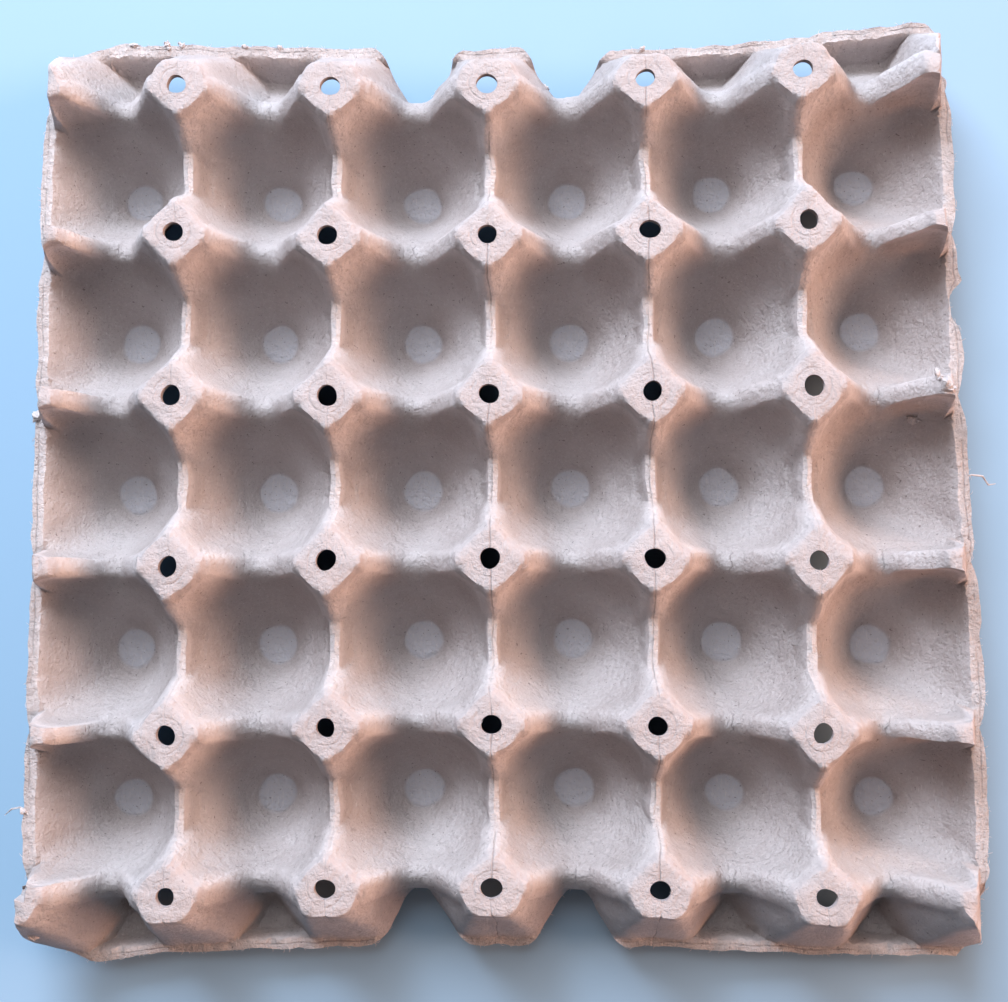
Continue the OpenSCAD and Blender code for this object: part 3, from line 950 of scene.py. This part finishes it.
def crack_mask(w, place, cell_x, post_y):
    """Short jagged splits across some of the saddles."""
    jag = w.calc("MULTIPLY", w.calc("SUBTRACT", w.noise(place, 160), 0.5), 7.0)
    off = w.calc("ABSOLUTE", w.calc("SUBTRACT", cell_x, jag))
    reach = w.ramp(w.calc("ABSOLUTE", post_y), 4.2, 2.0)
    some = w.ramp(w.noise(place, 21), 0.52, 0.58)
    return w.calc("MULTIPLY", w.calc("MULTIPLY", w.ramp(off, 0.28, 0.08), reach), some)


def ply_mask(w, place, x, y, wobble):
    """Layers of the pulp that show as lines along the rim."""
    inward = w.calc("MINIMUM", w.calc("SUBTRACT", EDGE_X, w.calc("ABSOLUTE", x)),
                    w.calc("SUBTRACT", EDGE_Y, w.calc("ABSOLUTE", y)))
    off = w.calc("ABSOLUTE", w.calc("SUBTRACT", inward, w.calc("MULTIPLY_ADD", wobble, 0.6, 1.5)))
    return w.calc("MULTIPLY", w.ramp(off, 0.35, 0.1), w.ramp(w.noise(place, 60), 0.42, 0.55))


def ring_mask(w, place, z, post_r, wobble):
    """Pressed rings round the holes in the post tops."""
    off = w.calc("ABSOLUTE", w.calc("SUBTRACT", post_r, w.calc("MULTIPLY_ADD", wobble, 0.4, 5.2)))
    ring = w.calc("MULTIPLY", w.ramp(off, 0.5, 0.1), w.ramp(w.noise(place, 110), 0.45, 0.6))
    return w.calc("MULTIPLY", ring, w.ramp(z, 45, 47))


def mould_marks(w, place):
    """Masks that follow the mould: discs, seams, cracks, rim plies, rings, hole rims and post tops."""
    plan = add(w.nodes, "ShaderNodeAttribute", attribute_name="plan")
    split = add(w.nodes, "ShaderNodeSeparateXYZ")
    w.feed(split.inputs[0], plan.outputs["Vector"])
    x, y, z = split.outputs
    cell_x = w.calc("WRAP", w.calc("SUBTRACT", x, HALF_X), HALF_X, -HALF_X)
    cell_y = w.calc("WRAP", y, HALF_Y, -HALF_Y)
    post_x = w.calc("WRAP", x, HALF_X, -HALF_X)
    post_y = w.calc("WRAP", w.calc("SUBTRACT", y, HALF_Y), HALF_Y, -HALF_Y)
    inside = w.ramp(w.calc("ABSOLUTE", y), ROW_Y + 0.3, ROW_Y - 0.3)
    cell_r, post_r = radius(w, cell_x, cell_y), radius(w, post_x, post_y)
    wobble = w.calc("MULTIPLY", w.calc("SUBTRACT", w.noise(place, 45), 0.5), 2.4)
    seam = seam_mask(w, place, x, y, z, w.calc("ABSOLUTE", w.calc("SUBTRACT", post_x, wobble)))
    crack = crack_mask(w, place, cell_x, post_y)
    ply = ply_mask(w, place, x, y, wobble)
    ring = ring_mask(w, place, z, post_r, wobble)
    return {
        "disc": w.calc("MULTIPLY", w.ramp(cell_r, FLOOR_R + 0.8, FLOOR_R - 0.8), inside),
        # bowl: where painted shade darkens each bowl, more towards its bottom
        "bowl": w.calc("MULTIPLY", w.ramp(cell_r, 17, 7), inside),
        "lines": w.calc("MAXIMUM", w.calc("MAXIMUM", seam, crack),
                        w.calc("MAXIMUM", w.calc("MULTIPLY", ring, 0.3), w.calc("MULTIPLY", ply, 0.8))),
        # Painted shade round the edges and down into the holes of the posts
        "hole": w.calc("MULTIPLY", w.ramp(post_r, HOLE_R + 0.9, HOLE_R + 0.1), w.ramp(z, 40, 44)),
        # top: the post tops, also where painted shade darkens them
        "top": w.ramp(z, 44, 47),
    }


def pulp_material():
    material = bpy.data.materials.new("pulp")
    material.use_nodes = True
    w = Wiring(material.node_tree)
    shader = w.nodes["Principled BSDF"]
    shader.inputs["Roughness"].default_value = 0.92
    shader.inputs["Specular IOR Level"].default_value = 0.12
    place = add(w.nodes, "ShaderNodeTexCoord").outputs["Object"]
    marks = mould_marks(w, place)

    def share(mask, part):
        return w.calc("MULTIPLY", mask, part)

    colour = w.mix(w.ramp(w.noise(place, 38), 0.32, 0.68), BASE_DARK, BASE_PALE)
    # Painted shade: slightly darker towards the bottom of each bowl
    colour = w.mix(share(marks["bowl"], 0.05), colour, PAINTED_SHADE_TONE)
    # Painted cool sky light: the floor discs get a lighter bluish tone
    colour = w.mix(share(marks["disc"], 0.75), colour, DISC_PAINTED_SKYLIGHT_TONE)
    grain = w.ramp(w.noise(place, 1100, 5, 0.8), 0.35, 0.65)
    colour = w.mix(share(grain, 0.36), colour, GRAIN_TONE)
    for turn in ((0.3, 0.2, 0.5), (0.9, 1.1, 2.0), (1.9, 0.4, 1.2)):
        strand = w.noise(w.turned(place, (1.0, 0.2, 1.0), turn), 1500, 2, 0.5)
        colour = w.mix(share(w.ramp(strand, 0.64, 0.74), 0.4), colour, FIBRE_TONE)
    for scale, low in ((800, 0.685), (1500, 0.69)):
        speck = w.ramp(w.noise(place, scale, 2, 0.5), low, low + 0.05)
        colour = w.mix(share(speck, 0.6), colour, SPECK_TONE)
    worn = add(w.nodes, "ShaderNodeAttribute", attribute_name="worn").outputs["Fac"]
    dull = w.calc("MULTIPLY_ADD", marks["top"], -0.85, 1.0)
    colour = w.mix(share(w.calc("MULTIPLY", w.ramp(worn, 0.0, 0.7), dull), 0.52), colour, WORN_TONE)
    # Painted shade: the post tops are darkened to offset the strong light they catch
    colour = w.mix(share(marks["top"], 0.52), colour, PAINTED_SHADE_TONE)
    # Painted shade inside the holes of the posts
    colour = w.mix(share(marks["hole"], 0.35), colour, PAINTED_SHADE_TONE)
    colour = w.mix(share(marks["lines"], 0.34), colour, LINE_TONE)
    w.feed(shader.inputs["Base Color"], colour)
    calm = w.calc("MULTIPLY_ADD", marks["top"], -0.5, 1.0)
    fine = w.bump(w.calc("MULTIPLY", w.noise(place, 950, 5, 0.75), calm), 1.0, 0.0012)
    felt = w.bump(w.calc("MULTIPLY", w.noise(place, 330, 4, 0.6), calm), 0.8, 0.0018, fine)
    w.feed(shader.inputs["Normal"], w.bump(share(marks["lines"], -1.0), 0.6, 0.0006, felt))
    return material


# Floor, light and camera
FLOOR_TONE, FLOOR_SIZE, FLOOR_DROP = (0.27, 0.40, 0.53, 1), 4.0, 0.0005
SKY_TONE, SKY_STRENGTH = (0.88, 0.92, 1.0, 1), 0.16
FOCAL_PIXELS, PICTURE_PIXELS, SENSOR = 1338.98, 1008, 36
CAMERA_PLACE = (21.82, -41.37, 439.66)
CAMERA_TURNS = ((-0.431, "Z"), (2.605, "Y"), (4.91, "X"))


def plain_material(name, colour):
    material = bpy.data.materials.new(name)
    material.use_nodes = True
    shader = material.node_tree.nodes["Principled BSDF"]
    shader.inputs["Base Color"].default_value = colour
    shader.inputs["Roughness"].default_value = 0.9
    shader.inputs["Specular IOR Level"].default_value = 0.1
    return material


def add_floor():
    corners = [(x * FLOOR_SIZE, y * FLOOR_SIZE, -FLOOR_DROP) for x, y in ((-1, -1), (1, -1), (1, 1), (-1, 1))]
    floor = mesh_object("floor", corners, [(0, 1, 2, 3)])
    floor.data.materials.append(plain_material("pale_floor", FLOOR_TONE))


def add_light(name, place, target, size, power, colour):
    data = bpy.data.lights.new(name, "AREA")
    data.shape = "RECTANGLE"
    data.size, data.size_y = size
    data.energy = power
    data.color = colour
    lamp = bpy.data.objects.new(name, data)
    lamp.location = place
    lamp.rotation_euler = (Vector(target) - Vector(place)).to_track_quat("-Z", "Y").to_euler()
    bpy.context.scene.collection.objects.link(lamp)


def add_lights():
    world = bpy.data.worlds.new("studio")
    bpy.context.scene.world = world
    world.use_nodes = True
    back = world.node_tree.nodes["Background"]
    back.inputs["Color"].default_value = SKY_TONE
    back.inputs["Strength"].default_value = SKY_STRENGTH
    add_light("cool_key", (-0.35, 1.08, 0.95), (0, 0, 0.02), (0.9, 0.6), 39, (0.73, 0.84, 1.0))
    add_light("warm_side", (2.3, 0.3, 1.2), (0, 0, 0.02), (1.2, 1.0), 66, (1.0, 0.63, 0.46))
    add_light("top_fill", (-0.1, 0.75, 1.27), (0, 0, 0), (0.9, 0.9), 14.5, (0.93, 0.96, 1.0))
    add_light("front_glow", (1.1, -0.6, 0.28), (0, -0.1, 0.02), (0.4, 0.3), 6.0, (1.0, 0.48, 0.28))


def add_camera():
    data = bpy.data.cameras.new("camera")
    data.sensor_fit = "HORIZONTAL"
    data.sensor_width = SENSOR
    data.lens = FOCAL_PIXELS * SENSOR / PICTURE_PIXELS
    camera = bpy.data.objects.new("camera", data)
    camera.matrix_world = Matrix.Translation(Vector(CAMERA_PLACE) * MM)
    for degrees, axis in CAMERA_TURNS:
        camera.matrix_world = camera.matrix_world @ Matrix.Rotation(math.radians(degrees), 4, axis)
    bpy.context.scene.collection.objects.link(camera)
    bpy.context.scene.camera = camera


pulp = pulp_material()
tray = build_tray(pulp)
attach(tray, "root")
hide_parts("tray")
add_floor()
add_lights()
add_camera()
bpy.context.scene.view_settings.view_transform = "Standard"
